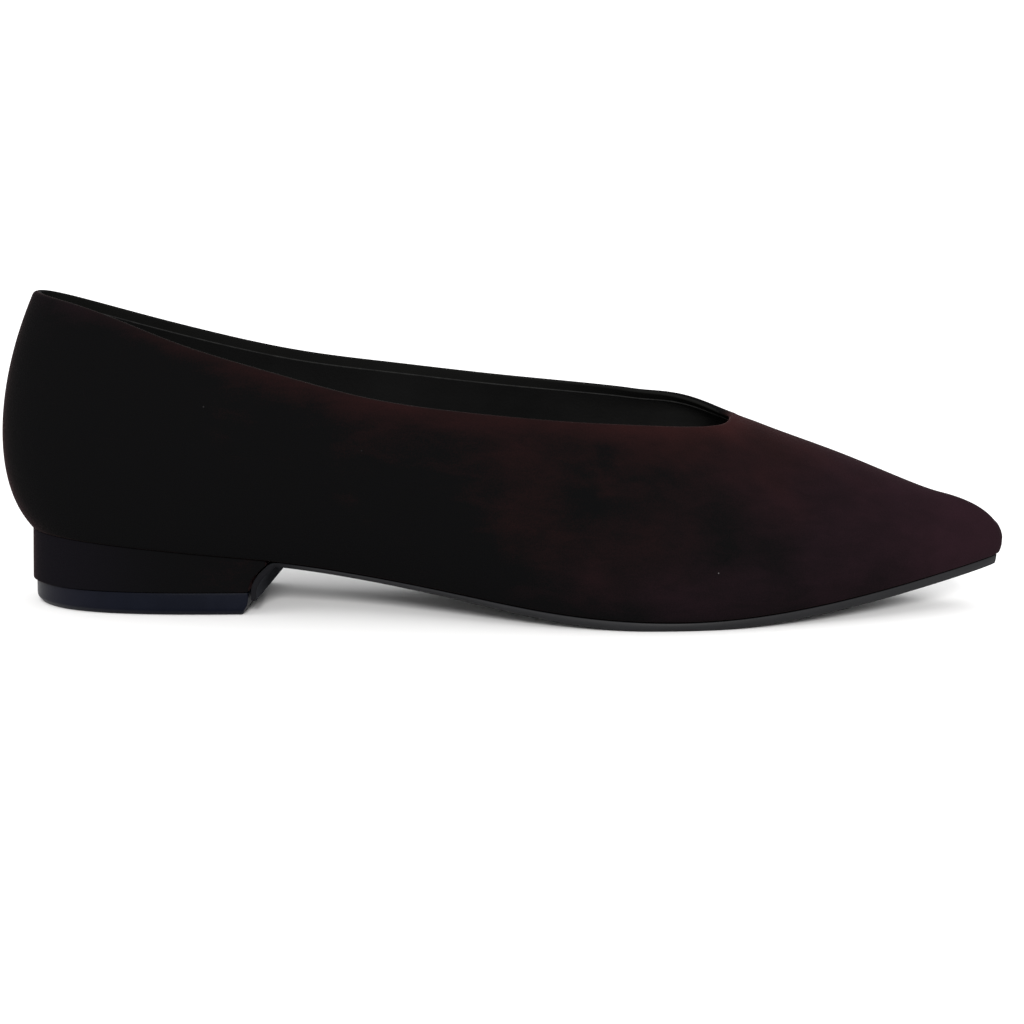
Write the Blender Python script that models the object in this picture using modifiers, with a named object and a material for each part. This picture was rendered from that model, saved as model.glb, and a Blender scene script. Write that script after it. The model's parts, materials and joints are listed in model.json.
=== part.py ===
"""A pointed ballet flat in dark suede with a low covered block heel: the right shoe of a pair.

X runs from the heel to the toe, Y from the outer to the inner side of the foot, Z up from the floor.
Sizes are in millimetres here and become metres where a mesh is made.
"""

import math
from bisect import bisect
from collections import namedtuple

import bmesh
import bpy
import numpy as np
from mathutils import Vector

# Driving sizes of the shoe
LENGTH = 270.8
BALL_WIDTH = 73.5
BACK_HEIGHT = 83.5
SEAT_HEIGHT = 20.4
THROAT_ALONG = 73.4

# Thicknesses and clearances
WALL = 1.8
MARGIN = 6.5
INSOLE = 2.4
SOLE = 2.6
FLAP = 1.7
LIFT = 6.0
GAP = 0.3
FLAP_GAP = 0.55
SOLE_INSET = 0.6
SOLE_UNDERCUT = 0.4
INSOLE_INSET = 2.9
INSOLE_CHAMFER = 0.6
BLOCK_INSET = 0.25
BLOCK_SPREAD = 0.4
LIFT_INSET = 0.8
LIFT_BEVEL = 1.4
LIFT_RAKE = 1.7
LIFT_RAKE_ABOVE_BEVEL = 1.0
TOE_MARGIN = 0.9
FULL_MARGIN_HALF_WIDTH = 12.0

# How far the middle of each slab's edge stands out
SOLE_EDGE = 0.3
FLAP_EDGE = 0.2
INSOLE_EDGE = 0.1

# Heel breast: a shallow hollow whose foot stands at this share of the length, below the waist where the
# sole leaves the upper
BREAST_FOOT = 26.4
WAIST_ALONG = 29.0
BREAST_HOLLOW = 0.09
BREAST_RISE = 7.2
FLAP_END = 4.2

# Mesh fineness
REAR_COLUMNS = 38
FRONT_COLUMNS = 21
WALL_ROWS = 14
MARGIN_ROWS = 2
SOLE_RINGS = 44
FLAP_RINGS = 7
HEEL_RINGS = 15
HEEL_LEVELS = 6
HEEL_CROWDING = 1.35
THROAT_CROWDING = 2.2
VAMP_CROWDING = 1.2
SHARP_ANGLE = 35
WELD = 0.01

# Section parameters, 0 at the heel and 1 at the toe, where the sole and the insole end
SOLE_TOE = 0.994
INSOLE_HEEL = 0.03
INSOLE_TOE = 0.945

OUTER = -1
INNER = 1
UP = Vector((0, 0, 1))
MM = 0.001

# The sole line, where the upper turns under: along is a share of the length, width and swing are shares
# of the ball width, lift is a share of the seat height and sole of the sole's thickness, all in percent.
SoleLine = namedtuple("SoleLine", "along width swing lift sole")
SOLE_LINE = [
    SoleLine(3.2, 0.0, 0.0, 100.0, 50),
    SoleLine(5.2, 37.5, 0.0, 99.0, 50),
    SoleLine(9.0, 57.8, 0.0, 96.0, 50),
    SoleLine(14.8, 67.2, 0.0, 89.5, 50),
    SoleLine(22.2, 66.7, 0.0, 80.5, 50),
    SoleLine(30.4, 59.2, -1.1, 69.5, 52),
    SoleLine(38.5, 57.8, -2.8, 54.5, 56),
    SoleLine(46.7, 70.6, -3.1, 39.2, 68),
    SoleLine(55.6, 89.4, -1.7, 22.4, 87),
    SoleLine(64.4, 99.7, 0.0, 13.7, 100),
    SoleLine(71.9, 94.2, 1.1, 13.7, 100),
    SoleLine(79.3, 77.8, 2.1, 21.6, 100),
    SoleLine(86.7, 55.6, 3.1, 36.2, 100),
    SoleLine(93.3, 32.2, 3.9, 53.0, 100),
    SoleLine(97.4, 15.6, 4.3, 64.4, 100),
    SoleLine(99.8, 0.0, 4.4, 71.7, 100),
]

# The crest of the last, which each section's walls rise to: along is the section's place on the sole
# line, reach is the crest's place on the length, height is a share of the back height.
Crest = namedtuple("Crest", "along reach swing height")
CREST = [
    Crest(3.2, 11.1, 0.0, 134.0),
    Crest(14.8, 19.3, 0.0, 129.3),
    Crest(22.2, 25.2, 0.0, 124.6),
    Crest(30.4, 31.9, 2.8, 117.4),
    Crest(38.5, 39.3, 5.6, 107.8),
    Crest(46.7, 47.4, 6.9, 96.4),
    Crest(55.6, 55.9, 6.9, 85.6),
    Crest(64.4, 64.1, 6.9, 74.5),
    Crest(71.9, 70.7, 6.7, 65.2),
    Crest(79.3, 77.4, 6.1, 56.7),
    Crest(86.7, 84.1, 5.3, 49.0),
    Crest(93.3, 89.8, 4.7, 41.5),
    Crest(97.4, 92.8, 4.4, 37.8),
    Crest(99.8, 93.7, 4.4, 36.8),
]

# How each section's wall swells: flare and rise lead it away from the sole line, crown carries it flat
# over the crest to each side, nose carries it along the crest at heel and toe, and drop pulls that end
# down, all in percent of the ball width.
Swell = namedtuple("Swell", "along flare rise outer_crown inner_crown nose drop")
SWELL = [
    Swell(3.2, 21.0, 22.5, 36.6, 36.6, 36.6, 43.5),
    Swell(14.8, 8.3, 25.0, 43.0, 43.0, 43.0, 44.4),
    Swell(22.2, 9.7, 23.6, 45.8, 45.8, 45.0, 36.0),
    Swell(30.4, 13.9, 22.2, 50.0, 44.4, 46.0, 22.2),
    Swell(38.5, 16.7, 20.8, 52.8, 43.0, 46.0, 11.1),
    Swell(46.7, 13.9, 20.8, 51.4, 40.3, 44.0, 4.2),
    Swell(55.6, 12.5, 20.8, 45.8, 38.0, 40.0, 0.0),
    Swell(64.4, 12.5, 19.4, 40.3, 40.5, 35.0, 0.0),
    Swell(71.9, 11.1, 18.0, 34.7, 40.5, 31.0, 0.0),
    Swell(79.3, 9.7, 16.7, 27.8, 29.0, 25.0, 0.0),
    Swell(86.7, 7.6, 13.9, 20.8, 16.7, 19.5, 0.0),
    Swell(93.3, 5.6, 9.7, 13.6, 12.4, 17.0, 0.0),
    Swell(97.4, 5.0, 7.4, 9.5, 9.0, 18.5, -0.6),
    Swell(99.8, 3.4, 6.2, 7.0, 7.0, 23.5, -3.0),
]

# The topline's height on each side, in percent of the back height, at places along the length.
Topline = namedtuple("Topline", "along outer inner")
TOPLINE = [
    Topline(4.2, 100.4, 100.4),
    Topline(11.1, 95.9, 92.9),
    Topline(19.3, 86.5, 85.5),
    Topline(28.1, 78.2, 79.0),
    Topline(38.5, 69.7, 74.5),
    Topline(48.9, 65.3, 71.1),
    Topline(59.3, 62.5, 68.4),
    Topline(66.7, 60.7, 65.8),
    Topline(69.6, 60.0, 63.8),
    Topline(71.9, 59.9, 62.1),
    Topline(72.8, 60.4, 61.65),
]


def spline(knots, values):
    """A smooth function through values at rising knots: the natural cubic spline."""
    count = len(knots)
    steps = np.diff(knots)
    slopes = np.diff(values) / steps
    matrix = np.eye(count)
    right = np.zeros(count)
    for k in range(1, count - 1):
        matrix[k, k - 1 : k + 2] = steps[k - 1], 2 * (steps[k - 1] + steps[k]), steps[k]
        right[k] = 6 * (slopes[k] - slopes[k - 1])
    bends = np.linalg.solve(matrix, right)

    def at(t):
        k = min(max(bisect(knots, t) - 1, 0), count - 2)
        step = steps[k]
        a = (knots[k + 1] - t) / step
        b = (t - knots[k]) / step
        straight = a * values[k] + b * values[k + 1]
        bend = (a**3 - a) * bends[k] + (b**3 - b) * bends[k + 1]
        return float(straight + bend * step * step / 6)

    return at


HEEL_END = SOLE_LINE[0].along * LENGTH / 100
TOE_END = SOLE_LINE[-1].along * LENGTH / 100


def sole_x(u):
    """The place on the length of a section, whose parameter u runs from 0 at the heel to 1 at the toe."""
    return HEEL_END + (TOE_END - HEEL_END) * (1 - math.cos(math.pi * u)) / 2


def station(x):
    """The section parameter of a place on the length."""
    share = (x - HEEL_END) / (TOE_END - HEEL_END)
    return math.acos(1 - 2 * min(max(share, 0), 1)) / math.pi


def column(table, name, full_size):
    """One named column of a table as a smooth function of the section parameter, in millimetres."""
    places = [row.along * LENGTH / 100 for row in table]
    sizes = [getattr(row, name) * full_size / 100 for row in table]
    curve = spline(places, sizes)
    return lambda u: curve(sole_x(u))


half_width = spline(
    [station(row.along * LENGTH / 100) for row in SOLE_LINE],
    [row.width * BALL_WIDTH / 200 for row in SOLE_LINE],
)
swing = column(SOLE_LINE, "swing", BALL_WIDTH)
lift = column(SOLE_LINE, "lift", SEAT_HEIGHT)
sole_thickness = column(SOLE_LINE, "sole", SOLE)
crest_x = column(CREST, "reach", LENGTH)
flare = column(SWELL, "flare", BALL_WIDTH)
rise = column(SWELL, "rise", BALL_WIDTH)
nose = column(SWELL, "nose", BALL_WIDTH)
drop = column(SWELL, "drop", BALL_WIDTH)
crown = {
    OUTER: column(SWELL, "outer_crown", BALL_WIDTH),
    INNER: column(SWELL, "inner_crown", BALL_WIDTH),
}
crest_places = [row.reach * LENGTH / 100 for row in CREST]
crest_y = spline(crest_places, [row.swing * BALL_WIDTH / 100 for row in CREST])
crest_z = spline(crest_places, [row.height * BACK_HEIGHT / 100 for row in CREST])

# The topline ends on the crest, at the throat
throat_x = THROAT_ALONG * LENGTH / 100
topline_places = [row.along * LENGTH / 100 for row in TOPLINE] + [throat_x]
topline = {
    OUTER: spline(topline_places, [row.outer * BACK_HEIGHT / 100 for row in TOPLINE] + [crest_z(throat_x)]),
    INNER: spline(topline_places, [row.inner * BACK_HEIGHT / 100 for row in TOPLINE] + [crest_z(throat_x)]),
}


def sole_point(u, side):
    """A point of the sole line."""
    return Vector((sole_x(u), swing(u) + side * half_width(u), lift(u)))


def outward(u, side):
    """The level direction that leaves the sole line squarely."""
    step = 0.0005
    along = (TOE_END - HEEL_END) * math.pi * math.sin(math.pi * u) * step
    across = sole_point(u + step, side).y - sole_point(u - step, side).y
    return (Vector((-across, along, 0)) * side).normalized()


def inset_point(u, side, inset):
    """A point inside the sole line, at the height that the line has beside it."""
    point = sole_point(u, side) - outward(u, side) * inset
    point.z = lift(station(point.x))
    return point


def crest_point(x):
    return Vector((x, crest_y(x), crest_z(x)))


def wall_handles(u, side):
    """The four points that steer one section's wall from the sole line up to the crest."""
    step = 0.05
    foot = sole_point(u, side)
    out = outward(u, side)
    x = crest_x(u)
    crest = crest_point(x)
    run = (crest_point(x + step) - crest_point(x - step)).normalized()
    across = Vector((0, side * abs(out.y), 0)) * crown[side](u) + run * out.x * nose(u)
    low = foot + out * flare(u) + UP * rise(u)
    high = crest + across - UP * drop(u)
    return foot, low, high, crest


def wall_point(handles, s):
    foot, low, high, crest = handles
    t = 1 - s
    return foot * t**3 + low * (3 * t * t * s) + high * (3 * t * s * s) + crest * s**3


def halve(function, low, high):
    """Where a function that rises from below zero at low crosses zero."""
    for _ in range(50):
        middle = (low + high) / 2
        if function(middle) < 0:
            low = middle
        else:
            high = middle
    return high


THROAT = halve(lambda u: crest_x(u) - throat_x, 0.0, 1.0)


def wall_top(handles, u, side):
    """The share of a section's wall that the topline leaves standing."""
    if u >= THROAT:
        return 1.0

    def above(s):
        point = wall_point(handles, s)
        return point.z - topline[side](max(point.x, topline_places[0]))

    return halve(above, 0.0, 1.0)


def upper_columns():
    """Section parameters from heel to toe, closer together at the heel back and at the throat."""
    columns = []
    for k in range(REAR_COLUMNS):
        eased = (k / REAR_COLUMNS) ** HEEL_CROWDING
        columns.append(THROAT * (1 - (1 - eased) ** THROAT_CROWDING))
    for k in range(FRONT_COLUMNS + 1):
        eased = (k / FRONT_COLUMNS) ** VAMP_CROWDING
        columns.append(THROAT + (1 - THROAT) * eased)
    return columns


def upper_section(u, side):
    """Points of one section from the margin's inner edge, round the sole line and up to the top."""
    margin = MARGIN
    if u > THROAT:
        fullness = min(1, half_width(u) / FULL_MARGIN_HALF_WIDTH)
        margin = TOE_MARGIN + (MARGIN - TOE_MARGIN) * fullness
    points = [inset_point(u, side, margin * (1 - k / MARGIN_ROWS)) for k in range(MARGIN_ROWS)]
    handles = wall_handles(u, side)
    top = wall_top(handles, u, side)
    points += [wall_point(handles, top * k / WALL_ROWS) for k in range(WALL_ROWS + 1)]
    return points


def finish_mesh(name, bm, material):
    """Scales a piece to metres and puts it in the shoe's collection under its empty."""
    bmesh.ops.scale(bm, vec=(MM, MM, MM), verts=bm.verts)
    mesh = bpy.data.meshes.new(name)
    bm.to_mesh(mesh)
    bm.free()
    mesh.materials.append(material)
    mesh.shade_smooth()
    mesh.set_sharp_from_angle(angle=math.radians(SHARP_ANGLE))
    piece = bpy.data.objects.new(name, mesh)
    shoe.objects.link(piece)
    piece.parent = centre
    return piece


def make_upper():
    """The pulled-over wall: one open surface, thickened inwards."""
    columns = upper_columns()
    rows = MARGIN_ROWS + WALL_ROWS
    bm = bmesh.new()
    for side in (OUTER, INNER):
        sections = [upper_section(u, side) for u in columns]
        grid = bmesh.ops.create_grid(bm, x_segments=len(columns) - 1, y_segments=rows, size=1)
        for vert in grid["verts"]:
            k = round((vert.co.x + 1) / 2 * (len(columns) - 1))
            row = round((vert.co.y + 1) / 2 * rows)
            vert.co = sections[k][row]
    bmesh.ops.remove_doubles(bm, verts=bm.verts, dist=WELD)
    bmesh.ops.recalc_face_normals(bm, faces=bm.faces)
    rearmost = min(bm.faces, key=lambda face: face.calc_center_median().x)
    if rearmost.normal.x > 0:
        bmesh.ops.reverse_faces(bm, faces=bm.faces)
    upper = finish_mesh("upper", bm, suede("upper_suede", 0.85))
    wall = upper.modifiers.new("wall", "SOLIDIFY")
    wall.thickness = WALL * MM
    wall.offset = -1
    wall.use_even_offset = True
    wall.use_quality_normals = True
    return upper


def loft(name, rings, material):
    """A closed solid through rings of equal count, each ring's points mirrored about its middle."""
    bm = bmesh.new()
    loops = [[bm.verts.new(point) for point in ring] for ring in rings]
    count = len(rings[0])
    for one, two in zip(loops, loops[1:]):
        for k in range(count):
            bm.faces.new((one[k - 1], one[k], two[k], two[k - 1]))
    for cap in (loops[0], loops[-1]):
        for k in range(count // 2 - 1):
            bm.faces.new((cap[k], cap[k + 1], cap[count - 2 - k], cap[count - 1 - k]))
    bmesh.ops.recalc_face_normals(bm, faces=bm.faces)
    if bm.calc_volume(signed=True) < 0:
        bmesh.ops.reverse_faces(bm, faces=bm.faces)
    return finish_mesh(name, bm, material)


def slab_ring(outer_top, outer_low, inner_top, inner_low, edge):
    """Six points round a slab's cross-section, with its edge standing out by a little at mid height."""
    spread = (outer_top - inner_top).normalized() * edge
    outer_mid = (outer_top + outer_low) / 2 + spread
    inner_mid = (inner_top + inner_low) / 2 - spread
    return [outer_top, outer_mid, outer_low, inner_low, inner_mid, inner_top]


def breast_x(z):
    """The heel's front face at a height: hollow above its foot."""
    rise_here = min(max(z - LIFT - GAP, 0), BREAST_RISE)
    return BREAST_FOOT * LENGTH / 100 + BREAST_HOLLOW * rise_here**2


def make_outsole():
    """The thin sole from the toe tip to the waist, and on down the heel's front as a flap."""
    waist = station(WAIST_ALONG * LENGTH / 100)
    rings = []
    for k in range(SOLE_RINGS + 1):
        u = SOLE_TOE + (waist - SOLE_TOE) * k / SOLE_RINGS
        ring = []
        for side in (OUTER, INNER):
            top = inset_point(u, side, SOLE_INSET) - UP * GAP
            low = inset_point(u, side, SOLE_INSET + SOLE_UNDERCUT)
            low.z = max(top.z - sole_thickness(u), 0)
            ring += [top, low]
        rings.append(slab_ring(*ring, SOLE_EDGE))
    flap_top = LIFT + GAP + BREAST_RISE
    for k in range(FLAP_RINGS + 1):
        z = flap_top + (FLAP_END - flap_top) * k / FLAP_RINGS
        x = breast_x(z) + FLAP_GAP
        lean = 2 * BREAST_HOLLOW * max(z - LIFT - GAP, 0)
        front = Vector((1, 0, -lean)).normalized() * FLAP
        ring = []
        for side in (OUTER, INNER):
            edge = inset_point(station(x), side, BLOCK_INSET)
            back = Vector((x, edge.y, z))
            ring += [back, back + front]
        rings.append(slab_ring(*ring, FLAP_EDGE))
    return loft("outsole", rings, plain("sole_black", (0.008, 0.008, 0.009), 0.45))


def make_insole():
    """The sock and its board, lying on the turned-under margin."""
    rings = []
    for k in range(SOLE_RINGS + 1):
        u = INSOLE_HEEL + (INSOLE_TOE - INSOLE_HEEL) * k / SOLE_RINGS
        ring = []
        for side in (OUTER, INNER):
            low = inset_point(u, side, INSOLE_INSET) + UP * (WALL + GAP)
            top = inset_point(u, side, INSOLE_INSET - INSOLE_CHAMFER) + UP * (WALL + GAP + INSOLE)
            ring += [top, low]
        rings.append(slab_ring(*ring, INSOLE_EDGE))
    return loft("insole", rings, plain("sock_black", (0.01, 0.009, 0.01), 0.5))


def heel_ring(inset, front, height_at):
    """A D-shaped ring inside the sole line: round at the back, square at the front."""
    last = station(front)
    shares = [(k + 0.5) / (HEEL_RINGS - 0.5) for k in range(HEEL_RINGS)]
    ring = []
    for side, order in ((OUTER, reversed(shares)), (INNER, shares)):
        for share in order:
            point = inset_point(last * share, side, inset)
            point.z = height_at(point.x)
            ring.append(point)
    return ring


def make_heel_block():
    """The covered block under the seat, with its hollow breast."""
    low = LIFT + GAP
    rings = []
    for level in range(HEEL_LEVELS + 1):
        share = level / HEEL_LEVELS
        top_at_front = lift(station(BREAST_FOOT * LENGTH / 100)) - GAP
        front = breast_x(low + share * (top_at_front - low))

        def height_at(x, share=share):
            top = lift(station(x)) - GAP
            return low + share * (top - low)

        inset = BLOCK_INSET - BLOCK_SPREAD * (1 - share)
        rings.append(heel_ring(inset, front, height_at))
    return loft("heel_block", rings, suede("heel_suede", 0.85))


def make_top_lift():
    """The wear piece under the heel."""
    front = BREAST_FOOT * LENGTH / 100
    levels = (
        (0.0, LIFT_INSET + LIFT_BEVEL, front - LIFT_RAKE),
        (LIFT_BEVEL, LIFT_INSET, front - LIFT_RAKE_ABOVE_BEVEL),
        (LIFT / 2, LIFT_INSET, front),
        (LIFT, LIFT_INSET, front),
    )
    rings = [heel_ring(inset, edge, lambda x, z=z: z) for z, inset, edge in levels]
    return loft("heel_top_lift", rings, plain("lift_navy", (0.006, 0.007, 0.012), 0.3))


def plain(name, colour, roughness):
    """A material of one colour."""
    material = bpy.data.materials.new(name)
    material.use_nodes = True
    shader = material.node_tree.nodes["Principled BSDF"]
    shader.inputs["Base Color"].default_value = (*colour, 1)
    shader.inputs["Roughness"].default_value = roughness
    shader.inputs["Metallic"].default_value = 0
    return material


def suede(name, roughness):
    return plain(name, (0.018, 0.006, 0.007), roughness)


for old in list(bpy.data.objects):
    bpy.data.objects.remove(old, do_unlink=True)

shoe = bpy.data.collections.new("ballet_flat")
bpy.context.scene.collection.children.link(shoe)
centre = bpy.data.objects.new("shoe_centre", None)
shoe.objects.link(centre)

pieces = [make_upper(), make_insole(), make_outsole(), make_heel_block(), make_top_lift()]

# The origin lies on the floor under the middle of the shoe's box
corners = [vert.co for piece in pieces for vert in piece.data.vertices]
for axis in (0, 1):
    places = [corner[axis] for corner in corners]
    centre.location[axis] = -(min(places) + max(places)) / 2
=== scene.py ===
import json
import math

import bmesh
import bpy
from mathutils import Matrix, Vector, kdtree

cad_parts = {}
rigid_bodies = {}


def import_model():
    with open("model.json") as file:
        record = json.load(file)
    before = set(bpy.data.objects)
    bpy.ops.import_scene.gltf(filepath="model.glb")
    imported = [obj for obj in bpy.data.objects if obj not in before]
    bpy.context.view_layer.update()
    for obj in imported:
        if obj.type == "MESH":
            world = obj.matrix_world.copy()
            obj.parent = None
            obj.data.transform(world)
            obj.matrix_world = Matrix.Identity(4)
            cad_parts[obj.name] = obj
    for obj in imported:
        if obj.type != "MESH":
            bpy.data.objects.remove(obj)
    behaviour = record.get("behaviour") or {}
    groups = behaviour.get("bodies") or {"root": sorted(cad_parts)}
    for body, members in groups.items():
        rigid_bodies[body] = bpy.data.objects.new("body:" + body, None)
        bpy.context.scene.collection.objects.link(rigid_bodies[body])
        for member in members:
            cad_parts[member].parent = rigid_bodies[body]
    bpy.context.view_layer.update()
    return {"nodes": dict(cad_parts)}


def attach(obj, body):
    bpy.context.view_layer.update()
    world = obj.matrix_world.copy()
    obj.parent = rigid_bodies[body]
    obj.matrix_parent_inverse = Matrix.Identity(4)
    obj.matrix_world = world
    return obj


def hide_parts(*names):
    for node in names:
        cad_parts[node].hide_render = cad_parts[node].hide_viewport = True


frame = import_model()


# Suede upper: one piece of dark burgundy suede, pulled over the last. It is folded in at the
# collar, closed by a seam down the back, and turned under along the sole line, where it is glued.
WELD = 0.00001
SMOOTHING = 2  # levels of subdivision
SKIN_SHARP = 60  # degrees, as are the other sharp angles
SOLE_LINE_SHARP = 38
SOLE_LINE_CREASE = 0.55
WALL = 0.00175
RIM_RADIUS = 0.0014
RIM_STEPS = 5
RIM_EASE = 0.007
COLLAR_ROLL = 0.0004
COLLAR_ROLL_EASE = 0.012
SHOULDER_MIDDLE = (0.0505, 0.018, 0.0535)
SHOULDER_RADIUS = 0.0155
SHOULDER_RISE = 0.0011
BACK_SEAM_HALF = 0.0007
BACK_SEAM_DEPTH = 0.00035
BACK_SEAM_REACH = 0.02
BACK_SEAM_FACING = -0.2
# The suede's black is both its dark nap and painted shade
NAP_AND_SHADE_BLACK = (0.0017, 0.00167, 0.00182)
NAP_BROWN = (0.0166, 0.0047, 0.0046)
# Plum: painted cool light
COOL_LIGHT_PLUM = (0.0121, 0.0049, 0.0073)
# The fold's lighter colour: partly wear, partly painted highlight
NAP_WORN_AND_HIGHLIGHT = (0.013, 0.008, 0.008)
LINT_GREY = (0.08, 0.075, 0.076)


def edit(piece):
    """Goes into edit mode on one piece, with nothing else selected."""
    bpy.ops.object.select_all(action="DESELECT")
    piece.select_set(True)
    bpy.context.view_layer.objects.active = piece
    bpy.ops.object.mode_set(mode="EDIT")


def leave():
    bpy.ops.object.mode_set(mode="OBJECT")


def welded_copy(node, name):
    """A CAD node's shape as a new piece, its loose triangles welded and paired into quads."""
    piece = bpy.data.objects.new(name, frame["nodes"][node].data.copy())
    piece.data.name = name
    piece.data.materials.clear()
    bpy.context.scene.collection.objects.link(piece)
    edit(piece)
    bpy.ops.mesh.customdata_custom_splitnormals_clear()
    bpy.ops.mesh.select_all(action="SELECT")
    bpy.ops.mesh.remove_doubles(threshold=WELD)
    bpy.ops.mesh.tris_convert_to_quads(
        face_threshold=math.pi, shape_threshold=math.pi, topology_influence=1
    )
    leave()
    return piece


def select_sharp(angle):
    bpy.ops.mesh.select_mode(type="EDGE")
    bpy.ops.mesh.select_all(action="DESELECT")
    bpy.ops.mesh.edges_select_sharp(sharpness=math.radians(angle))


def keep_skin(piece, first_face):
    """Keeps only the faces that run on from one face without crossing a sharp edge."""
    edit(piece)
    select_sharp(SKIN_SHARP)
    bpy.ops.mesh.mark_seam(clear=False)
    bpy.ops.mesh.select_all(action="DESELECT")
    bpy.ops.mesh.select_mode(type="FACE")
    leave()
    piece.data.polygons[first_face].select = True
    bpy.ops.object.mode_set(mode="EDIT")
    bpy.ops.mesh.select_linked(delimit={"SEAM"})
    bpy.ops.mesh.select_all(action="INVERT")
    bpy.ops.mesh.delete(type="FACE")
    leave()


def modify(piece, kind, **settings):
    """Adds a modifier to a piece and applies it."""
    modifier = piece.modifiers.new(kind.lower(), kind)
    for name, value in settings.items():
        setattr(modifier, name, value)
    bpy.context.view_layer.objects.active = piece
    bpy.ops.object.modifier_apply(modifier=modifier.name)


def subdivide(piece):
    modify(piece, "SUBSURF", levels=SMOOTHING, render_levels=SMOOTHING)


def thicken(piece, thickness, side):
    """Makes a skin a wall, on the side that its faces look to (1) or on the other (-1)."""
    modify(
        piece,
        "SOLIDIFY",
        thickness=thickness,
        offset=side,
        use_even_offset=False,
        use_quality_normals=True,
    )


def swell(share):
    """The height of a soft mound, by the share of the way from its middle to its edge."""
    return (1 - share * share) ** 2


def raise_shoulder(piece):
    """Lifts the inner side's shoulder by the throat."""
    for vert in piece.data.vertices:
        share = (vert.co - Vector(SHOULDER_MIDDLE)).length / SHOULDER_RADIUS
        if share < 1:
            vert.co.z += SHOULDER_RISE * swell(share)


def collar_edge(piece):
    """A skin's top edge in order round the collar: points, normals and ways down the wall."""
    bm = bmesh.new()
    bm.from_mesh(piece.data)
    first = max((v for v in bm.verts if v.is_boundary), key=lambda v: v.co.z)
    verts = []
    vert = first
    came = None
    while vert is not first or not verts:
        verts.append(vert)
        came = next(e for e in vert.link_edges if e.is_boundary and e is not came)
        vert = came.other_vert(vert)
    points = [v.co.copy() for v in verts]
    normals = [v.normal.copy() for v in verts]
    downs = []
    for k, vert in enumerate(verts):
        onward = points[(k + 1) % len(points)] - points[k - 1]
        down = onward.cross(normals[k]).normalized()
        middles = [face.calc_center_median() for face in vert.link_faces]
        inner = sum(middles, Vector()) / len(middles)
        downs.append(down if down.dot(inner - vert.co) > 0 else -down)
    bm.free()
    return points, normals, downs


def nearest_finder(points):
    """Finds the point nearest to a place: the point, its number and its distance."""
    tree = kdtree.KDTree(len(points))
    for k, point in enumerate(points):
        tree.insert(point, k)
    tree.balance()
    return tree.find


def press_down(piece, collar, distance, reach, with_edge):
    """Moves a skin's rows near the collar down the wall, the top ones most."""
    points, normals, downs = collar
    nearest = nearest_finder(points)
    for vert in piece.data.vertices:
        point, k, gap = nearest(vert.co)
        if gap < reach and (with_edge or gap > WELD):
            vert.co += downs[k] * distance * (1 - gap / reach)


suede = welded_copy("upper", "suede_upper")
keep_skin(suede, min(suede.data.polygons, key=lambda face: face.center.x).index)
edit(suede)
select_sharp(SOLE_LINE_SHARP)
bpy.ops.transform.edge_crease(value=SOLE_LINE_CREASE)
leave()
subdivide(suede)
raise_shoulder(suede)

# The collar stands up a little at its fold, and the rows below it make room for its rounding
press_down(suede, collar_edge(suede), -COLLAR_ROLL, COLLAR_ROLL_EASE, True)
suede_collar = collar_edge(suede)
press_down(suede, suede_collar, RIM_RADIUS, RIM_EASE, False)
thicken(suede, WALL, -1)
nearest = nearest_finder(suede_collar[0])
edit(suede)
bpy.ops.mesh.select_mode(type="VERT")
bpy.ops.mesh.select_all(action="DESELECT")
leave()
for vert in suede.data.vertices:
    vert.select = nearest(vert.co)[2] < WELD
edit(suede)
bpy.ops.mesh.select_mode(type="EDGE")
bpy.ops.transform.edge_bevelweight(value=1)
leave()
modify(
    suede,
    "BEVEL",
    width=RIM_RADIUS,
    segments=RIM_STEPS,
    limit_method="WEIGHT",
    use_clamp_overlap=False,
)
suede.data.shade_smooth()

# The back seam: a narrow trough down the outer face of the heel
heel_back = min(suede.data.vertices, key=lambda vert: vert.co.x).co.copy()
for vert in suede.data.vertices:
    share = abs(vert.co.y - heel_back.y) / BACK_SEAM_HALF
    behind = vert.co.x < heel_back.x + BACK_SEAM_REACH
    if share < 1 and behind and vert.normal.x < BACK_SEAM_FACING:
        vert.co -= vert.normal * BACK_SEAM_DEPTH * swell(share)

# Each point's distance from the collar's fold, and its depth under the outer face there, which
# the wear follows
gaps = []
depths = []
for vert in suede.data.vertices:
    point, k, gap = nearest(vert.co)
    gaps.append(gap)
    depths.append(suede_collar[1][k].dot(point - vert.co) if gap < 2 * WALL else 0.0)
for name, values in (("from_fold", gaps), ("over_fold", depths)):
    suede.data.attributes.new(name, "FLOAT", "POINT").data.foreach_set("value", values)


def add(tree, kind, inputs=None, **settings):
    """Adds a shader node, with its settings and with values or links for its inputs."""
    node = tree.nodes.new("ShaderNode" + kind)
    for name, value in settings.items():
        setattr(node, name, value)
    for name, value in (inputs or {}).items():
        if isinstance(value, bpy.types.NodeSocket):
            tree.links.new(value, node.inputs[name])
        else:
            node.inputs[name].default_value = value
    return node


def finish(name, colour, roughness, specular, **sockets):
    """A material whose shader has these values, and its node tree and shader."""
    material = bpy.data.materials.new(name)
    material.use_nodes = True
    tree = material.node_tree
    shader = tree.nodes["Principled BSDF"]
    shader.inputs["Base Color"].default_value = (*colour, 1)
    shader.inputs["Roughness"].default_value = roughness
    shader.inputs["Specular IOR Level"].default_value = specular
    for socket, value in sockets.items():
        shader.inputs[socket.replace("_", " ")].default_value = value
    return material, tree, shader


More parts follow.
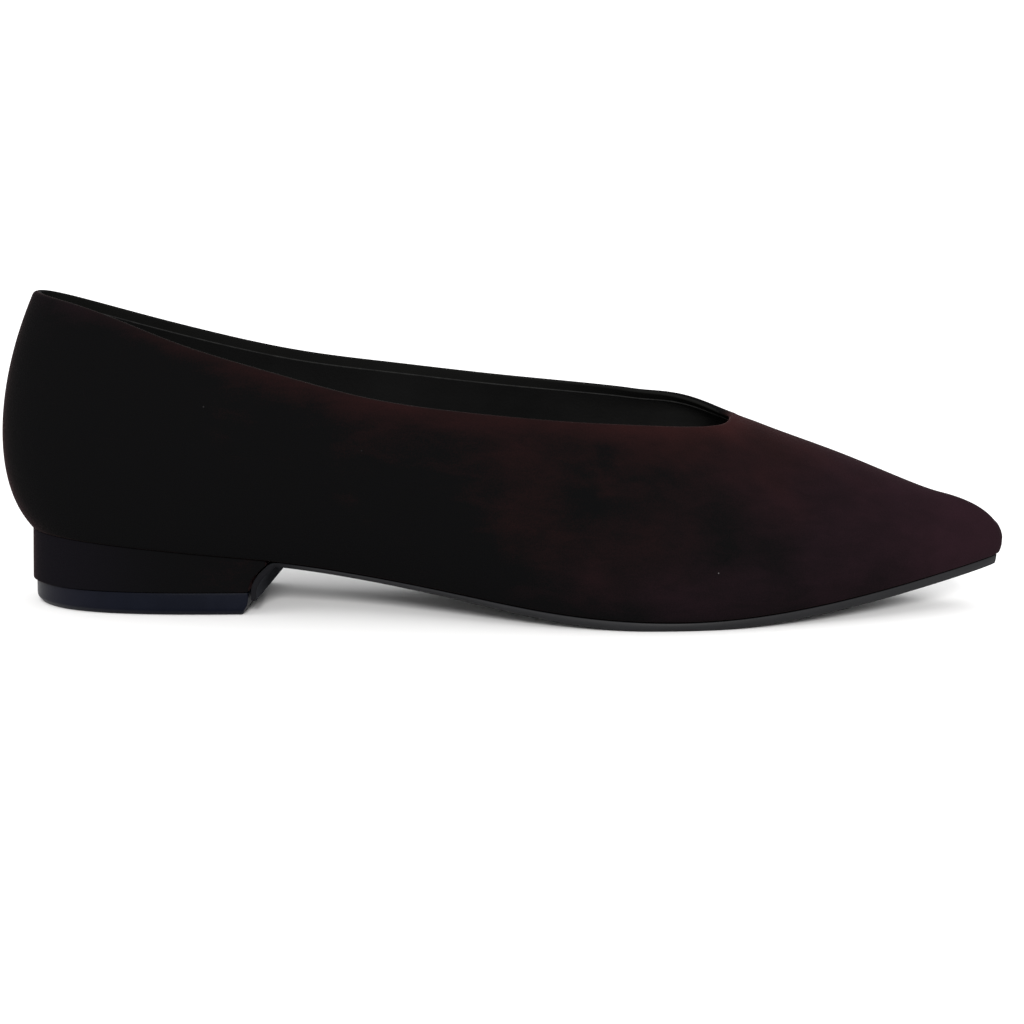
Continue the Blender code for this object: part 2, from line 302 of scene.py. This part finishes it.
def new_surface(name, inputs):
    """A node group for the colour, roughness and relief of a surface, and its input sockets."""
    group = bpy.data.node_groups.new(name, "ShaderNodeTree")
    for label, value in inputs.items():
        kind = "NodeSocketColor" if isinstance(value, tuple) else "NodeSocketFloat"
        group.interface.new_socket(label, in_out="INPUT", socket_type=kind).default_value = value
    for label, kind in (("Color", "Color"), ("Roughness", "Float"), ("Height", "Float")):
        group.interface.new_socket(label, in_out="OUTPUT", socket_type="NodeSocket" + kind)
    return group, group.nodes.new("NodeGroupInput").outputs


def put_out(group, colour, roughness, height):
    """Links what a surface's node group puts out."""
    out = group.nodes.new("NodeGroupOutput")
    for label, value in (("Color", colour), ("Roughness", roughness), ("Height", height)):
        group.links.new(value, out.inputs[label])


def lay_on(tree, shader, group, strength, depth):
    """Places a surface's node group in a material, with its relief as a bump."""
    node = add(tree, "Group", node_tree=group)
    height = node.outputs["Height"]
    bump = add(tree, "Bump", {"Strength": strength, "Distance": depth, "Height": height})
    tree.links.new(node.outputs["Color"], shader.inputs["Base Color"])
    tree.links.new(node.outputs["Roughness"], shader.inputs["Roughness"])
    tree.links.new(bump.outputs[0], shader.inputs["Normal"])
    return node


def noise(tree, vector, scale, detail, roughness, distortion=0.0):
    """A noise pattern's value, from 0 to 1."""
    inputs = {"Vector": vector, "Scale": scale, "Detail": detail}
    inputs.update({"Roughness": roughness, "Distortion": distortion})
    return add(tree, "TexNoise", inputs).outputs["Fac"]


def work_out(tree, operation, *values):
    return add(tree, "Math", dict(enumerate(values)), operation=operation).outputs[0]


def in_turn(tree, operation, first, *others):
    """Adds or multiplies several values."""
    for other in others:
        first = work_out(tree, operation, first, other)
    return first


def fade(tree, value, low, high, at_low=0.0, at_high=1.0):
    """Goes smoothly from one number to another while a value goes from low to high."""
    inputs = {"Value": value, "From Min": low, "From Max": high}
    inputs.update({"To Min": at_low, "To Max": at_high})
    return add(tree, "MapRange", inputs, interpolation_type="SMOOTHSTEP").outputs["Result"]


def spot(tree, place, middle, core, radius, strength):
    """A round spot that fades out between its core and its edge."""
    apart = add(tree, "VectorMath", {0: place, 1: middle}, operation="DISTANCE").outputs["Value"]
    return fade(tree, apart, core, radius, strength, 0.0)


def mix(tree, share, one, two):
    """One colour going over to another."""
    one, two = ((*colour, 1) if isinstance(colour, tuple) else colour for colour in (one, two))
    return add(tree, "Mix", {0: share, 6: one, 7: two}, data_type="RGBA").outputs[2]


# The suede is painted in shade at the heel and in light towards the toe and up the vamp; over
# that the nap lies in soft brushed patches some centimetres across, with finer brush strokes and
# the fibres themselves over them
NAP_PATCHES = [  # brushed lighter or darker: middle, radius and strength
    ((0.046, -0.037, 0.009), 0.016, 0.16),
    ((0.028, -0.038, 0.014), 0.01, 0.1),
    ((0.006, -0.032, 0.048), 0.014, 0.13),
    ((0.036, -0.026, 0.048), 0.02, 0.24),
    ((0.060, -0.014, 0.048), 0.016, 0.16),
    ((0.051, -0.025, 0.041), 0.01, 0.16),
    ((0.022, -0.035, 0.033), 0.014, -0.12),
    ((0.029, -0.034, 0.036), 0.011, -0.11),
    ((0.0, -0.034, 0.02), 0.02, -0.14),
    ((0.056, -0.034, 0.022), 0.018, -0.1),
    ((0.074, -0.024, 0.032), 0.009, 0.07),
    ((-0.038, -0.030, 0.049), 0.02, 0.09),
    ((-0.070, -0.026, 0.058), 0.012, 0.08),
    ((0.062, -0.036, 0.005), 0.018, 0.14),
    ((0.088, -0.027, 0.011), 0.018, 0.14),
]
STIR_SCALE = 55.0  # the noise that bends the outlines of the patches
STIR_DETAIL = 3.0
STIR_REACH = 0.03
# Painted shade at the heel going over to painted light at the toe, along a line slanting up and
# forward
LIGHT_SLANT = 1.6
HEEL_SHADE_TO_LIGHT = (0.0, 0.06, -0.1, 0.1)  # from, to, and the number at each, as in every fade
TOE_LIGHT = (0.09, 0.158, 0.0, 0.41)
# The inner side is painted lighter: painted fill light
INNER_SIDE_FILL = (0.008, 0.03, 0.0, 0.3)
# A painted highlight along the top of the vamp
RIDGE_HIGHLIGHT_ACROSS = (-0.016, -0.002)
RIDGE_HIGHLIGHT_ALONG = (0.03, 0.07, 0.0, 0.32)
CLOUDS = (30, 2, 0.5, 0.4)  # a noise's scale, detail, roughness and distortion
CLOUDS_LEAN = (0.3, 0.7, -0.08, 0.08)
STROKES = (210, 3, 0.6, 0.6)
STROKES_TURN = (0, 0.35, 0)
STROKES_STRETCH = (0.4, 1, 1.3)
STROKES_LEAN = (0.3, 0.72, -0.05, 0.05)
STROKES_HEIGHT = 4.0
FIBRES = (2600, 2, 0.6)
FIBRES_LEAN = (0.2, 0.8, -0.07, 0.07)
# Painted cool light, as a plum tint low at the front and at the heel
COOL_LIGHT_SLANT = -2.0
COOL_LIGHT_FRONT = (-0.055, 0.05)
COOL_LIGHT_BACK = (-0.08, -0.12)
NAP_ROUGHNESS = (0.0, 1.0, 0.98, 0.88)
NAP_STRENGTH = 0.35
NAP_DEPTH = 0.0003

nap, nap_in = new_surface("suede_nap_and_painted_light", {"Lean": 0.0})
place = add(nap, "TexCoord").outputs["Object"]
stir = add(nap, "TexNoise", {"Vector": place, "Scale": STIR_SCALE, "Detail": STIR_DETAIL})
stir = add(
    nap, "VectorMath", {0: stir.outputs["Color"], 1: (0.5, 0.5, 0.5)}, operation="SUBTRACT"
)
stirred = add(
    nap,
    "VectorMath",
    {0: stir.outputs[0], 1: (STIR_REACH, STIR_REACH, STIR_REACH), 2: place},
    operation="MULTIPLY_ADD",
).outputs[0]
x, y, z = add(nap, "SeparateXYZ", {0: stirred}).outputs
light_slant = work_out(nap, "MULTIPLY_ADD", z, LIGHT_SLANT, x)
# Painted highlight along the vamp's top
ridge_highlight = work_out(nap, "MULTIPLY", fade(nap, y, *RIDGE_HIGHLIGHT_ACROSS), fade(nap, x, *RIDGE_HIGHLIGHT_ALONG))
patches = [spot(nap, stirred, middle, 0.0, *rest) for middle, *rest in NAP_PATCHES]
strokes_place = add(
    nap, "Mapping", {"Vector": place, "Rotation": STROKES_TURN, "Scale": STROKES_STRETCH}
).outputs[0]
strokes = fade(nap, noise(nap, strokes_place, *STROKES), *STROKES_LEAN)
fibres = noise(nap, place, *FIBRES)
# Painted shade and light along the shoe, with the nap's own tones over them
light_and_nap = in_turn(
    nap,
    "ADD",
    fade(nap, light_slant, *HEEL_SHADE_TO_LIGHT),
    nap_in["Lean"],
    fade(nap, light_slant, *TOE_LIGHT),
    fade(nap, y, *INNER_SIDE_FILL),
    ridge_highlight,
    *patches,
    fade(nap, noise(nap, place, *CLOUDS), *CLOUDS_LEAN),
    strokes,
    fade(nap, fibres, *FIBRES_LEAN),
)
light_and_nap = add(nap, "Clamp", {"Value": light_and_nap}).outputs[0]
# Painted cool light: a plum tint low at the front and at the heel
cool_light_front = fade(nap, work_out(nap, "MULTIPLY_ADD", z, COOL_LIGHT_SLANT, x), *COOL_LIGHT_FRONT)
cool_light = work_out(nap, "MAXIMUM", cool_light_front, fade(nap, x, *COOL_LIGHT_BACK))
put_out(
    nap,
    mix(nap, light_and_nap, NAP_AND_SHADE_BLACK, mix(nap, cool_light, NAP_BROWN, COOL_LIGHT_PLUM)),
    fade(nap, light_and_nap, *NAP_ROUGHNESS),
    work_out(nap, "MULTIPLY_ADD", strokes, STROKES_HEIGHT, fibres),
)


def suede_finish(name):
    """A suede material, its node tree, shader and the node that gives its nap and painted light
    and shade.
    """
    material, tree, shader = finish(
        name,
        NAP_AND_SHADE_BLACK,
        roughness=0.95,
        specular=0.03,
        Sheen_Weight=0.03,
        Sheen_Roughness=0.25,
        Sheen_Tint=(1, 0.5, 0.52, 1),
    )
    return material, tree, shader, lay_on(tree, shader, nap, NAP_STRENGTH, NAP_DEPTH)


# Along the collar the nap is rubbed lighter. The fold itself is lightest, partly worn and partly
# a painted highlight on its rolled edge. On the inner side the fold is painted in shade, near
# black.
# A few specks of lint cling to the outer side.
RUBBED_BELOW = (0.0005, 0.0075, 0.3, 0.0)
RUBBED_WAIST = (-0.05, 0.005, 0.65, 1.0)
RUBBED_BACK = (-0.125, -0.1, 0.4, 1.0)
RUBBED_INNER = (0.0, 0.012, 1.0, 0.3)
WORN_AND_HIGHLIGHT_OVER = (0.0005, 0.001, 0.0, 0.8)
WORN_AND_HIGHLIGHT_THROAT = (0.045, 0.06, 1.0, 0.3)
WORN_AND_HIGHLIGHT_INNER = (0.0, 0.012, 1.0, 0.2)
# Painted shade on the fold along the inner side
FOLD_SHADE_OVER = (0.0, 0.0004)
FOLD_SHADE_INNER = (0.004, 0.012)
LINT = [  # middle, radius and strength
    ((0.0578, -0.0356, 0.0154), 0.00026, 0.9),
    ((-0.0020, -0.0332, 0.0132), 0.0002, 0.35),
    ((-0.0746, -0.0279, 0.0559), 0.0003, 0.16),
    ((-0.0335, -0.0303, 0.0452), 0.0003, 0.1),
]
LINT_CORE = 0.4

upper_suede, tree, shader, nap_and_light_node = suede_finish("upper_suede")
below = add(tree, "Attribute", attribute_name="from_fold").outputs["Fac"]
over = add(tree, "Attribute", attribute_name="over_fold").outputs["Fac"]
place = add(tree, "TexCoord").outputs["Object"]
x, y, z = add(tree, "SeparateXYZ", {0: place}).outputs
rubbed = in_turn(
    tree,
    "MULTIPLY",
    fade(tree, below, *RUBBED_BELOW),
    fade(tree, x, *RUBBED_WAIST),
    fade(tree, x, *RUBBED_BACK),
    fade(tree, y, *RUBBED_INNER),
)
tree.links.new(rubbed, nap_and_light_node.inputs["Lean"])
# The fold: partly wear, partly painted highlight
worn_and_highlight = in_turn(
    tree,
    "MULTIPLY",
    fade(tree, over, *WORN_AND_HIGHLIGHT_OVER),
    fade(tree, x, *WORN_AND_HIGHLIGHT_THROAT),
    fade(tree, y, *WORN_AND_HIGHLIGHT_INNER),
)
# Painted shade: the fold on the inner side near black
fold_shade = work_out(tree, "MULTIPLY", fade(tree, over, *FOLD_SHADE_OVER), fade(tree, y, *FOLD_SHADE_INNER))
colour = mix(tree, worn_and_highlight, nap_and_light_node.outputs["Color"], NAP_WORN_AND_HIGHLIGHT)
colour = mix(tree, fold_shade, colour, NAP_AND_SHADE_BLACK)
for middle, radius, strength in LINT:
    speck = spot(tree, place, middle, radius * LINT_CORE, radius, strength)
    colour = mix(tree, speck, colour, LINT_GREY)
tree.links.new(colour, shader.inputs["Base Color"])
suede.data.materials.append(upper_suede)
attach(suede, "root")
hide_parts("upper")


# Lining: thin black leather glued to the inside of the suede, smooth side in, from the collar
# down to the turned-under margin.
LINING = 0.0003
LINING_TOP = 0.0027
LINING_EASE = 0.009
LINING_SHARP = 50
LINING_FACING = 0.7
LINING_HOLE = 20  # the most edges round a hole that is closed
LINING_BLACK = (0.0035, 0.0035, 0.0035)
# A lighter lining towards the toe: painted light
LINING_PAINTED_LIGHT = (0.0112, 0.0112, 0.011)
LINING_LIGHT_ALONG = (0.0, 0.06)
GRAIN_CLOUDS = (70, 3, 0.55, 0.3)
GRAIN_TONE = (0.3, 0.7, 0.88, 1.14)
GRAIN_GLOSS = (0.3, 0.7, -0.06, 0.06)
GRAIN_DEPTH = 0.0002

grain, grain_in = new_surface(
    "leather_grain", {"Colour": (*LINING_BLACK, 1), "Fineness": 1400.0, "Roughness": 0.45}
)
place = add(grain, "TexCoord").outputs["Object"]
cells = add(
    grain, "TexVoronoi", {"Vector": place, "Scale": grain_in["Fineness"]}, feature="SMOOTH_F1"
)
clouds = noise(grain, place, *GRAIN_CLOUDS)
tone = fade(grain, clouds, *GRAIN_TONE)
toned = add(grain, "VectorMath", {0: grain_in["Colour"], "Scale": tone}, operation="SCALE")
put_out(
    grain,
    toned.outputs[0],
    work_out(grain, "ADD", grain_in["Roughness"], fade(grain, clouds, *GRAIN_GLOSS)),
    cells.outputs[0],
)


def leather_finish(name, colour, roughness, specular, fineness, strength):
    """A leather or moulded finish with a fine grain, its node tree and grain."""
    material, tree, shader = finish(name, colour, roughness, specular)
    pores = lay_on(tree, shader, grain, strength, GRAIN_DEPTH)
    pores.inputs["Colour"].default_value = (*colour, 1)
    pores.inputs["Fineness"].default_value = fineness
    pores.inputs["Roughness"].default_value = roughness
    return material, tree, pores


def along(tree):
    """How far along the shoe a place is, from minus at the heel to plus at the toe."""
    place = add(tree, "TexCoord").outputs["Object"]
    return add(tree, "SeparateXYZ", {0: place}).outputs[0]


lining = welded_copy("upper", "lining")
inside = [face for face in lining.data.polygons if face.normal.x > LINING_FACING]
keep_skin(lining, min(inside, key=lambda face: face.center.x).index)
edit(lining)
bpy.ops.mesh.select_all(action="SELECT")
bpy.ops.mesh.fill_holes(sides=LINING_HOLE)
leave()
subdivide(lining)
raise_shoulder(lining)
press_down(lining, collar_edge(lining), -COLLAR_ROLL, COLLAR_ROLL_EASE, True)
lining_collar = collar_edge(lining)
press_down(lining, lining_collar, LINING_TOP, LINING_EASE, True)
thicken(lining, LINING, 1)
lining.data.shade_smooth()
lining.data.set_sharp_from_angle(angle=math.radians(LINING_SHARP))
lining_black, tree, pores = leather_finish(
    "lining_black", LINING_BLACK, roughness=0.8, specular=0.03, fineness=1400, strength=0.25
)
# Painted light: the lining is lighter towards the toe, deep inside where shade falls
lining_light = fade(tree, along(tree), *LINING_LIGHT_ALONG)
tree.links.new(mix(tree, lining_light, LINING_BLACK, LINING_PAINTED_LIGHT), pores.inputs["Colour"])
lining.data.materials.append(lining_black)
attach(lining, "root")


# Collar facing: the suede's turned-in edge is covered by a narrow matt black tape. The lining is
# sewn on below it, and its edge stands as a thin ridge all round the inside, coloured light grey
# as a painted highlight that breaks up in places.
TAPE_PROFILE = [  # down the wall, and out from it
    (0.0005, -0.001),
    (0.00012, -0.00096),
    (-0.00004, -0.0005),
    (-0.00008, -0.00005),
    (0.00008, 0.0001),
    (0.0004, 0.00014),
    (0.0024, 0.00014),
    (0.0029, 0.00014),
    (0.0029, -0.0002),
]
EDGE_PROFILE = [
    (0.0026, 0.0),
    (0.00262, 0.00036),
    (0.00272, 0.00042),
    (0.00286, 0.0004),
    (0.003, 0.00032),
    (0.003, 0.0),
]
STRIP_STEP = 0.0014
STRIP_SHARP = 60
TAPE_BLACK = (0.0044, 0.0044, 0.0042)
# Painted highlight on the lining's edge, broken by darker spots
EDGE_HIGHLIGHT_GREY = (0.013, 0.013, 0.0127)
EDGE_DARK = (0.007, 0.007, 0.007)
EDGE_BREAKS = (420, 3, 0.6)
EDGE_BROKEN = (0.3, 0.7)


def evenly(points, normals, downs, step):
    """The collar edge again, at even steps."""
    count = len(points)
    lengths = [(points[(k + 1) % count] - points[k]).length for k in range(count)]
    steps = round(sum(lengths) / step)
    each = sum(lengths) / steps
    rows = (points, normals, downs)
    result = []
    k = 0
    done = 0.0
    for n in range(steps):
        while done + lengths[k] < n * each:
            done += lengths[k]
            k += 1
        share = (n * each - done) / lengths[k]
        after = (k + 1) % count
        result.append(tuple(row[k].lerp(row[after], share) for row in rows))
    return result


def add_mesh(name, bm, material):
    """A new piece from mesh data, smooth-shaded."""
    bmesh.ops.recalc_face_normals(bm, faces=bm.faces)
    mesh = bpy.data.meshes.new(name)
    bm.to_mesh(mesh)
    bm.free()
    mesh.shade_smooth()
    mesh.materials.append(material)
    piece = bpy.data.objects.new(name, mesh)
    bpy.context.scene.collection.objects.link(piece)
    return piece


def strip_along_collar(name, profile, material):
    """A strip of one cross-section, run round the inside of the collar and joined to itself."""
    bm = bmesh.new()
    rings = []
    for point, normal, down in evenly(*lining_collar, STRIP_STEP):
        rings.append([bm.verts.new(point + down * d + normal * h) for d, h in profile])
    for k, ring in enumerate(rings):
        for n in range(len(ring)):
            bm.faces.new((rings[k - 1][n - 1], rings[k - 1][n], ring[n], ring[n - 1]))
    piece = add_mesh(name, bm, material)
    piece.data.set_sharp_from_angle(angle=math.radians(STRIP_SHARP))
    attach(piece, "root")


tape_black, tree, pores = leather_finish(
    "tape_black", TAPE_BLACK, roughness=0.85, specular=0.03, fineness=2600, strength=0.3
)
strip_along_collar("collar_tape", TAPE_PROFILE, tape_black)
# The edge's light grey is a painted highlight, broken by darker spots
cut_edge_highlight, tree, shader = finish("cut_edge_highlight", EDGE_HIGHLIGHT_GREY, roughness=0.7, specular=0.08)
breaks = noise(tree, add(tree, "TexCoord").outputs["Object"], *EDGE_BREAKS)
colour = mix(tree, fade(tree, breaks, *EDGE_BROKEN), EDGE_DARK, EDGE_HIGHLIGHT_GREY)
tree.links.new(colour, shader.inputs["Base Color"])
strip_along_collar("lining_edge", EDGE_PROFILE, cut_edge_highlight)


# Insole: a board covered with a black leather sock. It is glued in on the upper's turned-under
# margin, and closes the inside of the shoe.
SOCK_ROUNDING = 0.0004
ROUNDING_STEPS = 2
ROUNDED_SHARP = 40
SOCK_BLACK = (0.0094, 0.0094, 0.0098)


def soften(piece, radius):
    """Rounds a slab's sharp edges, then smooths its outline."""
    modify(
        piece,
        "BEVEL",
        width=radius,
        segments=ROUNDING_STEPS,
        limit_method="ANGLE",
        angle_limit=math.radians(ROUNDED_SHARP),
        use_clamp_overlap=False,
    )
    subdivide(piece)
    piece.data.shade_smooth()


sock = welded_copy("insole", "sock")
soften(sock, SOCK_ROUNDING)
sock_black, tree, pores = leather_finish(
    "sock_black", SOCK_BLACK, roughness=0.6, specular=0.13, fineness=1100, strength=0.3
)
sock.data.materials.append(sock_black)
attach(sock, "root")
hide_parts("insole")


# Outsole: a thin black resin sole cemented under the upper, its edge trimmed and polished.
# Behind the waist it runs on down the heel's front as a flap, which is duller and greyer.
SOLE_ROUNDING = 0.00035
SOLE_BLACK = (0.0062, 0.0062, 0.0071)
FLAP_GREY = (0.0225, 0.0235, 0.0265)
POLISH_SIDE = (0.4, 0.8)
POLISH_TOE = (0.03, 0.09, 0.175, 0.165)
POLISH_WAIST = (-0.06, -0.045, 0.0, 1.0)
FLAP_BEHIND = (-0.056, -0.05, 1.0, 0.0)
FLAP_FACE = (0.2, 0.6, 1.0, 0.0)

outsole = welded_copy("outsole", "resin_sole")
soften(outsole, SOLE_ROUNDING)
resin_black, tree, pores = leather_finish(
    "resin_black", SOLE_BLACK, roughness=0.55, specular=0.0, fineness=2200, strength=0.12
)
facing = add(tree, "SeparateXYZ", {0: add(tree, "TexCoord").outputs["Normal"]}).outputs[1]
sideways = work_out(tree, "ABSOLUTE", facing)
x = along(tree)
polish = in_turn(
    tree,
    "MULTIPLY",
    fade(tree, sideways, *POLISH_SIDE),
    fade(tree, x, *POLISH_TOE),
    fade(tree, x, *POLISH_WAIST),
)
tree.links.new(polish, tree.nodes["Principled BSDF"].inputs["Specular IOR Level"])
flap = work_out(tree, "MULTIPLY", fade(tree, x, *FLAP_BEHIND), fade(tree, sideways, *FLAP_FACE))
tree.links.new(mix(tree, flap, SOLE_BLACK, FLAP_GREY), pores.inputs["Colour"])
outsole.data.materials.append(resin_black)
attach(outsole, "root")
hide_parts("outsole")


# Heel: a low block covered in the same suede, its cover pulled tight round the sides and turned
# in above and below. It is glued and nailed up against the seat.
HEEL_ROUNDING = 0.0004
GLUE_LINE = 0.0003
HEEL_LEAN = 0.04
# Painted cool light at the back of the heel
HEEL_COOL_LIGHT = (0.0037, 0.0031, 0.0049)
HEEL_COOL_LIGHT_BACK = (-0.13, -0.08, 0.7, 0.0)


def stretch_up(piece, more):
    """Makes a piece that much taller from its foot, so that it meets the piece above it."""
    heights = [vert.co.z for vert in piece.data.vertices]
    low, high = min(heights), max(heights)
    for vert in piece.data.vertices:
        vert.co.z += more * (vert.co.z - low) / (high - low)


heel = welded_copy("heel_block", "covered_heel")
soften(heel, HEEL_ROUNDING)
stretch_up(heel, GLUE_LINE)
heel_suede, tree, shader, nap_and_light_node = suede_finish("heel_suede")
nap_and_light_node.inputs["Lean"].default_value = HEEL_LEAN
# Painted cool light, a bluish plum, at the back of the heel
heel_cool_light = fade(tree, along(tree), *HEEL_COOL_LIGHT_BACK)
colour = mix(tree, heel_cool_light, nap_and_light_node.outputs["Color"], HEEL_COOL_LIGHT)
tree.links.new(colour, shader.inputs["Base Color"])
heel.data.materials.append(heel_suede)
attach(heel, "root")
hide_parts("heel_block")


# Top lift: a moulded wear piece of hard navy-black rubber, nailed and cemented under the heel.
# Towards the back it is painted a little lighter: painted light.
LIFT_ROUNDING = 0.0004
LIFT_NAVY = (0.0017, 0.0023, 0.0053)
LIFT_PAINTED_LIGHT = (0.0056, 0.0055, 0.0092)
LIFT_LIGHT_BACK = (-0.128, -0.095, 1.0, 0.0)

lift = welded_copy("heel_top_lift", "top_lift")
soften(lift, LIFT_ROUNDING)
stretch_up(lift, GLUE_LINE)
lift_navy, tree, pores = leather_finish(
    "lift_navy", LIFT_NAVY, roughness=0.4, specular=0.055, fineness=1800, strength=0.1
)
# Painted light, lighter towards the back
lift_light = fade(tree, along(tree), *LIFT_LIGHT_BACK)
tree.links.new(mix(tree, lift_light, LIFT_NAVY, LIFT_PAINTED_LIGHT), pores.inputs["Colour"])
lift.data.materials.append(lift_navy)
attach(lift, "root")
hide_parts("heel_top_lift")


# Studio: a plain white floor that runs out of sight, one soft light low in front of the shoe,
# and a pale room all round.
FLOOR_SIZE = 40
FLOOR_SQUARES = 8
FLOOR_WHITE = (0.82, 0.82, 0.82)
ROOM_STRENGTH = 1.25
SOFTBOX_ENERGY = 3.4
SOFTBOX_SPREAD = 14  # degrees
SOFTBOX_COLOUR = (1, 0.99, 0.98)
SOFTBOX_WAY = (0.12, -0.89, 0.42)

bpy.ops.object.select_all(action="DESELECT")
bpy.ops.mesh.primitive_grid_add(
    x_subdivisions=FLOOR_SQUARES, y_subdivisions=FLOOR_SQUARES, size=FLOOR_SIZE
)
floor = bpy.context.object
floor.name = "floor"
floor_white, tree, shader = finish("floor_white", FLOOR_WHITE, roughness=0.8, specular=0.0)
floor.data.materials.append(floor_white)

world = bpy.data.worlds.new("room")
world.use_nodes = True
background = world.node_tree.nodes["Background"]
background.inputs["Color"].default_value = (1, 1, 1, 1)
background.inputs["Strength"].default_value = ROOM_STRENGTH
bpy.context.scene.world = world
bpy.context.scene.view_settings.view_transform = "Standard"

light = bpy.data.lights.new("softbox", "SUN")
light.energy = SOFTBOX_ENERGY
light.angle = math.radians(SOFTBOX_SPREAD)
light.color = SOFTBOX_COLOUR
softbox = bpy.data.objects.new("softbox", light)
softbox.rotation_euler = (-Vector(SOFTBOX_WAY)).to_track_quat("-Z", "Y").to_euler()
bpy.context.scene.collection.objects.link(softbox)


# Camera: low in front of the outer side and a little towards the toe, with a long lens, as in
# the photograph.
EYE = (0.0393, -0.5903, 0.1256)
AIM = (0.0032, 0.0, 0.0245)
LENS = 78.15
SENSOR = 36
NEAREST_SEEN = 0.01

camera_data = bpy.data.cameras.new("camera")
camera_data.lens = LENS
camera_data.sensor_width = SENSOR
camera_data.clip_start = NEAREST_SEEN
camera = bpy.data.objects.new("camera", camera_data)
camera.location = EYE
camera.rotation_euler = (Vector(AIM) - Vector(EYE)).to_track_quat("-Z", "Y").to_euler()
bpy.context.scene.collection.objects.link(camera)
bpy.context.scene.camera = camera
